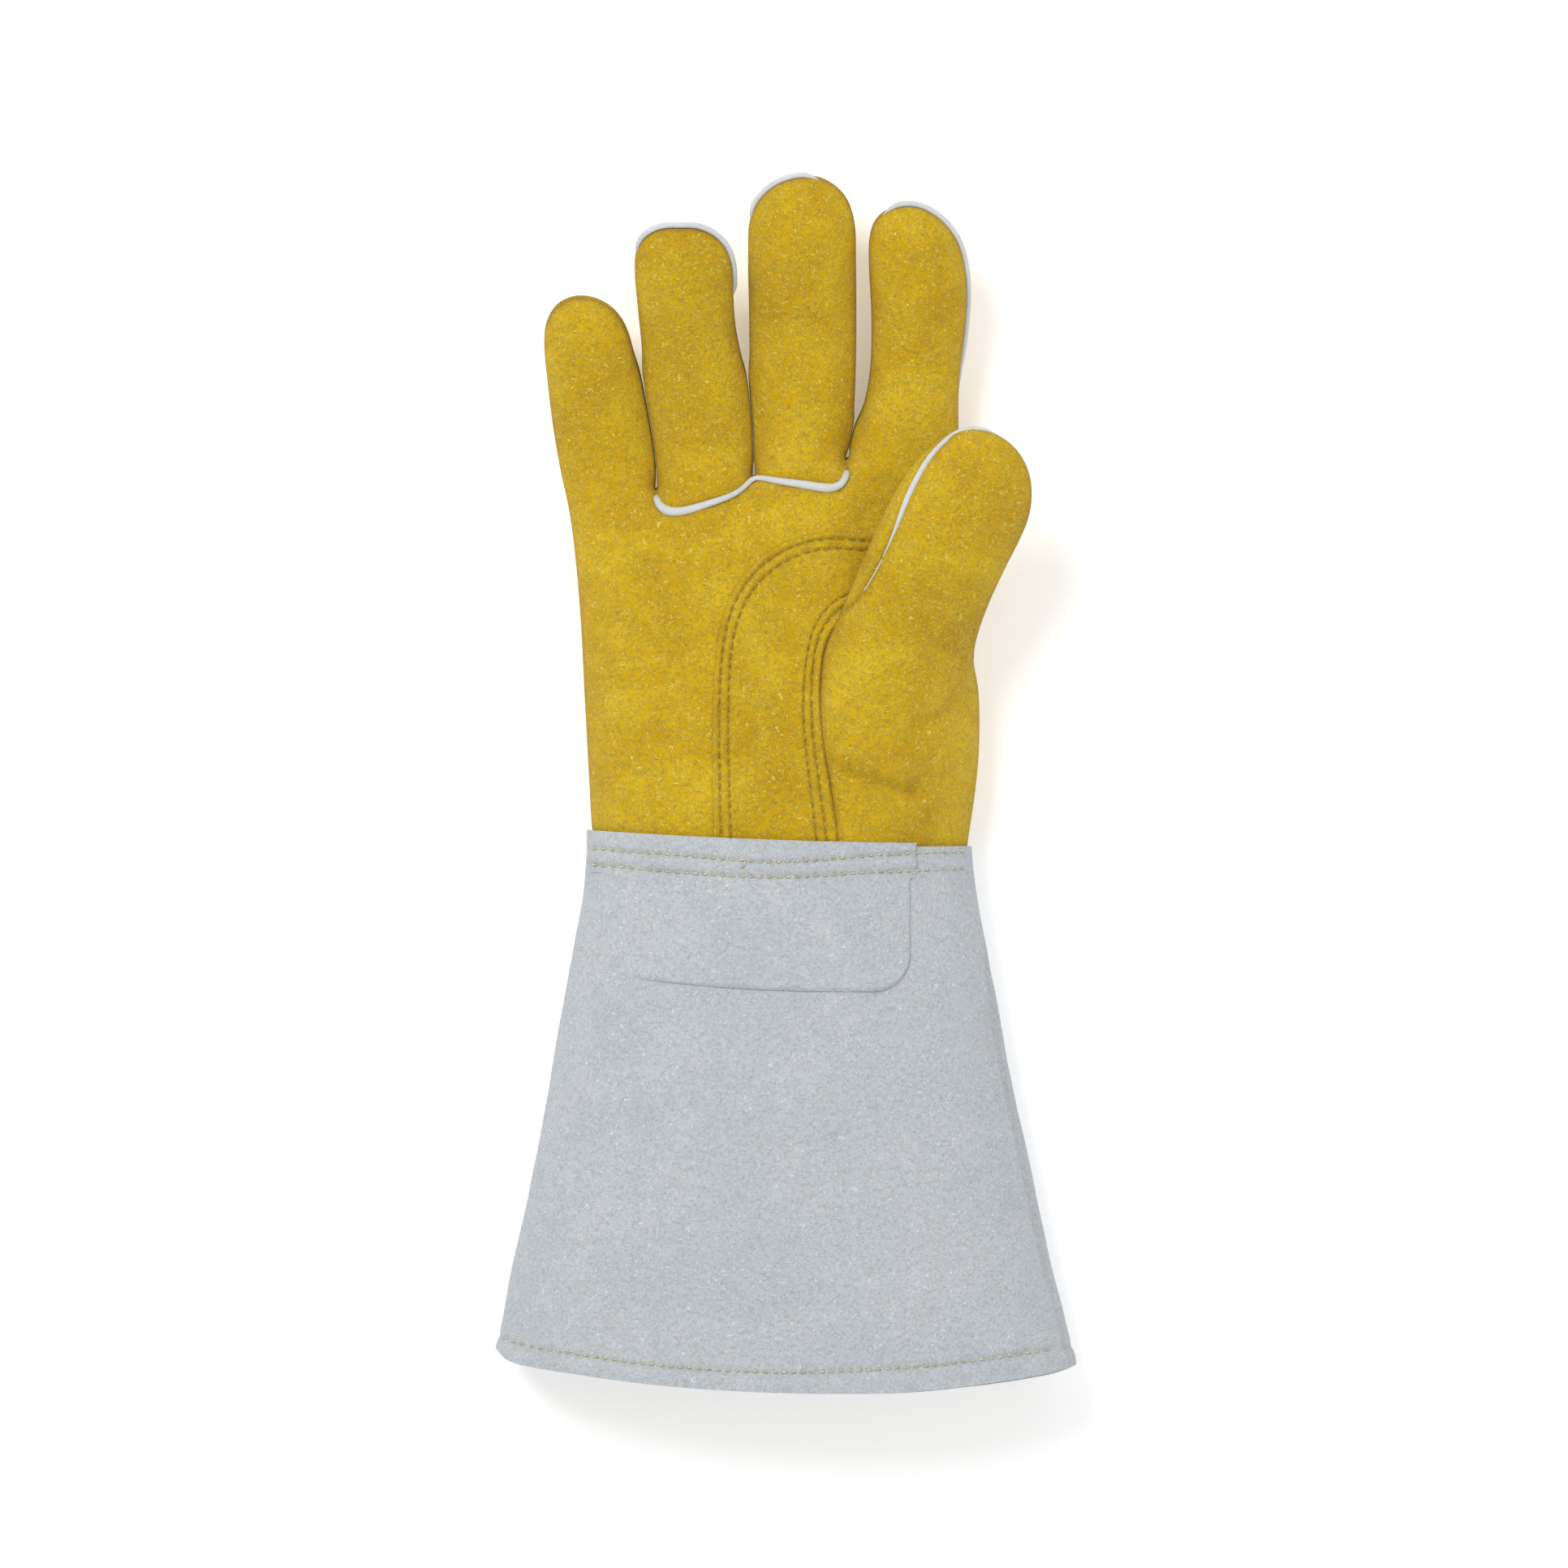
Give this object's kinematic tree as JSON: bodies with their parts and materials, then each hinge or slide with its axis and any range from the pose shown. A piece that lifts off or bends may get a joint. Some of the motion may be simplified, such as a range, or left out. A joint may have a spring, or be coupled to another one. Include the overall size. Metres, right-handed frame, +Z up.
{
  "type": "welding gloves",
  "caption": "Right-hand suede gauntlet work glove with a long flared cuff, bending fingers and thumb, a lifting wrist flap and an open lined inside.",
  "frame": {"origin": "on the floor under the glove, at the middle of its length and width, the glove lying on its back", "axes": "+X towards the thumb side, +Y towards the fingertips, +Z up out of the palm"},
  "size_m": [0.1936, 0.4083, 0.0719],
  "materials": {
    "yellow_suede": "matte napped",
    "grey_suede": "matte napped",
    "white_welt": "matte",
    "cream_thread": "twisted thread",
    "cotton_lining": "brushed"
  },
  "bodies": {
    "hand": {"hand_palm_panel": "yellow_suede", "hand_back_panel": "yellow_suede", "hand_lining": "cotton_lining", "thenar_panel": "yellow_suede", "palm_patch": "yellow_suede", "patch_outer_stitch": "cream_thread", "patch_inner_stitch": "cream_thread", "base_seam_welt": "white_welt", "hand_side_welt": "white_welt"},
    "little_base": {"little_base_front": "yellow_suede", "little_base_back": "yellow_suede", "little_base_lining": "cotton_lining", "little_base_welt": "white_welt"},
    "little_tip": {"little_tip_front": "yellow_suede", "little_tip_back": "yellow_suede", "little_tip_lining": "cotton_lining", "little_tip_welt": "white_welt"},
    "ring_base": {"ring_base_front": "yellow_suede", "ring_base_back": "yellow_suede", "ring_base_lining": "cotton_lining", "ring_base_welt": "white_welt"},
    "ring_tip": {"ring_tip_front": "yellow_suede", "ring_tip_back": "yellow_suede", "ring_tip_lining": "cotton_lining", "ring_tip_welt": "white_welt"},
    "middle_base": {"middle_base_front": "yellow_suede", "middle_base_back": "yellow_suede", "middle_base_lining": "cotton_lining", "middle_base_welt": "white_welt"},
    "middle_tip": {"middle_tip_front": "yellow_suede", "middle_tip_back": "yellow_suede", "middle_tip_lining": "cotton_lining", "middle_tip_welt": "white_welt"},
    "index_base": {"index_base_front": "yellow_suede", "index_base_back": "yellow_suede", "index_base_lining": "cotton_lining", "index_base_welt": "white_welt"},
    "index_tip": {"index_tip_front": "yellow_suede", "index_tip_back": "yellow_suede", "index_tip_lining": "cotton_lining", "index_tip_welt": "white_welt"},
    "thumb_base": {"thumb_base_front": "yellow_suede", "thumb_base_back": "yellow_suede", "thumb_base_lining": "cotton_lining", "thumb_base_welt": "white_welt"},
    "thumb_tip": {"thumb_tip_front": "yellow_suede", "thumb_tip_back": "yellow_suede", "thumb_tip_lining": "cotton_lining", "thumb_tip_welt": "white_welt"},
    "cuff": {"cuff_leather": "grey_suede", "cuff_lining": "cotton_lining", "cuff_side_welt": "white_welt", "cuff_band_stitch_upper": "cream_thread", "cuff_band_stitch_lower": "cream_thread", "cuff_hem_stitch": "cream_thread"},
    "wrist_flap": {"wrist_flap": "grey_suede"}
  },
  "joints": [
    {"name": "little_root_bend", "type": "hinge", "parent": "hand", "child": "little_base", "pos_m": [-0.0625, 0.106, 0.017], "axis": [0.9976, 0.0698, 0], "range_deg": [-8, 50], "stiffness_Nm_per_rad": 0.15},
    {"name": "little_end_bend", "type": "hinge", "parent": "little_base", "child": "little_tip", "pos_m": [-0.06427, 0.13135, 0.02148], "axis": [0.9976, 0.0698, 0], "range_deg": [-12, 60], "stiffness_Nm_per_rad": 0.15},
    {"name": "ring_root_bend", "type": "hinge", "parent": "hand", "child": "ring_base", "pos_m": [-0.0295, 0.108, 0.017], "axis": [0.9994, 0.0349, 0], "range_deg": [-8, 50], "stiffness_Nm_per_rad": 0.15},
    {"name": "ring_end_bend", "type": "hinge", "parent": "ring_base", "child": "ring_tip", "pos_m": [-0.03082, 0.14569, 0.02571], "axis": [0.9994, 0.0349, 0], "range_deg": [-12, 60], "stiffness_Nm_per_rad": 0.15},
    {"name": "middle_root_bend", "type": "hinge", "parent": "hand", "child": "middle_base", "pos_m": [0.006, 0.11, 0.017], "axis": [1, -0.0087, 0], "range_deg": [-8, 50], "stiffness_Nm_per_rad": 0.15},
    {"name": "middle_end_bend", "type": "hinge", "parent": "middle_base", "child": "middle_tip", "pos_m": [0.00636, 0.1513, 0.0228], "axis": [1, -0.0087, 0], "range_deg": [-12, 60], "stiffness_Nm_per_rad": 0.15},
    {"name": "index_root_bend", "type": "hinge", "parent": "hand", "child": "index_base", "pos_m": [0.044, 0.114, 0.017], "axis": [1, 0, 0], "range_deg": [-8, 50], "stiffness_Nm_per_rad": 0.15},
    {"name": "index_end_bend", "type": "hinge", "parent": "index_base", "child": "index_tip", "pos_m": [0.044, 0.14934, 0.02197], "axis": [1, 0, 0], "range_deg": [-12, 60], "stiffness_Nm_per_rad": 0.15},
    {"name": "thumb_swing", "type": "hinge", "parent": "hand", "child": "thumb_base", "pos_m": [0.039, 0.034, 0.044], "axis": [-0.2079, 0, -0.9781], "range_deg": [-10, 30], "stiffness_Nm_per_rad": 0.15},
    {"name": "thumb_end_bend", "type": "hinge", "parent": "thumb_base", "child": "thumb_tip", "pos_m": [0.05795, 0.07741, 0.05301], "axis": [0.0966, -0.2724, 0.9573], "range_deg": [-5, 40], "stiffness_Nm_per_rad": 0.15},
    {"name": "wrist_bend", "type": "hinge", "parent": "hand", "child": "cuff", "pos_m": [0, -0.015, 0.023], "axis": [1, 0, 0], "range_deg": [-15, 15], "stiffness_Nm_per_rad": 3},
    {"name": "flap_lift", "type": "hinge", "parent": "cuff", "child": "wrist_flap", "pos_m": [-0.009, -0.0335, 0.0506], "axis": [-1, 0, 0], "range_deg": [0, 60], "stiffness_Nm_per_rad": 0.02}
  ]
}
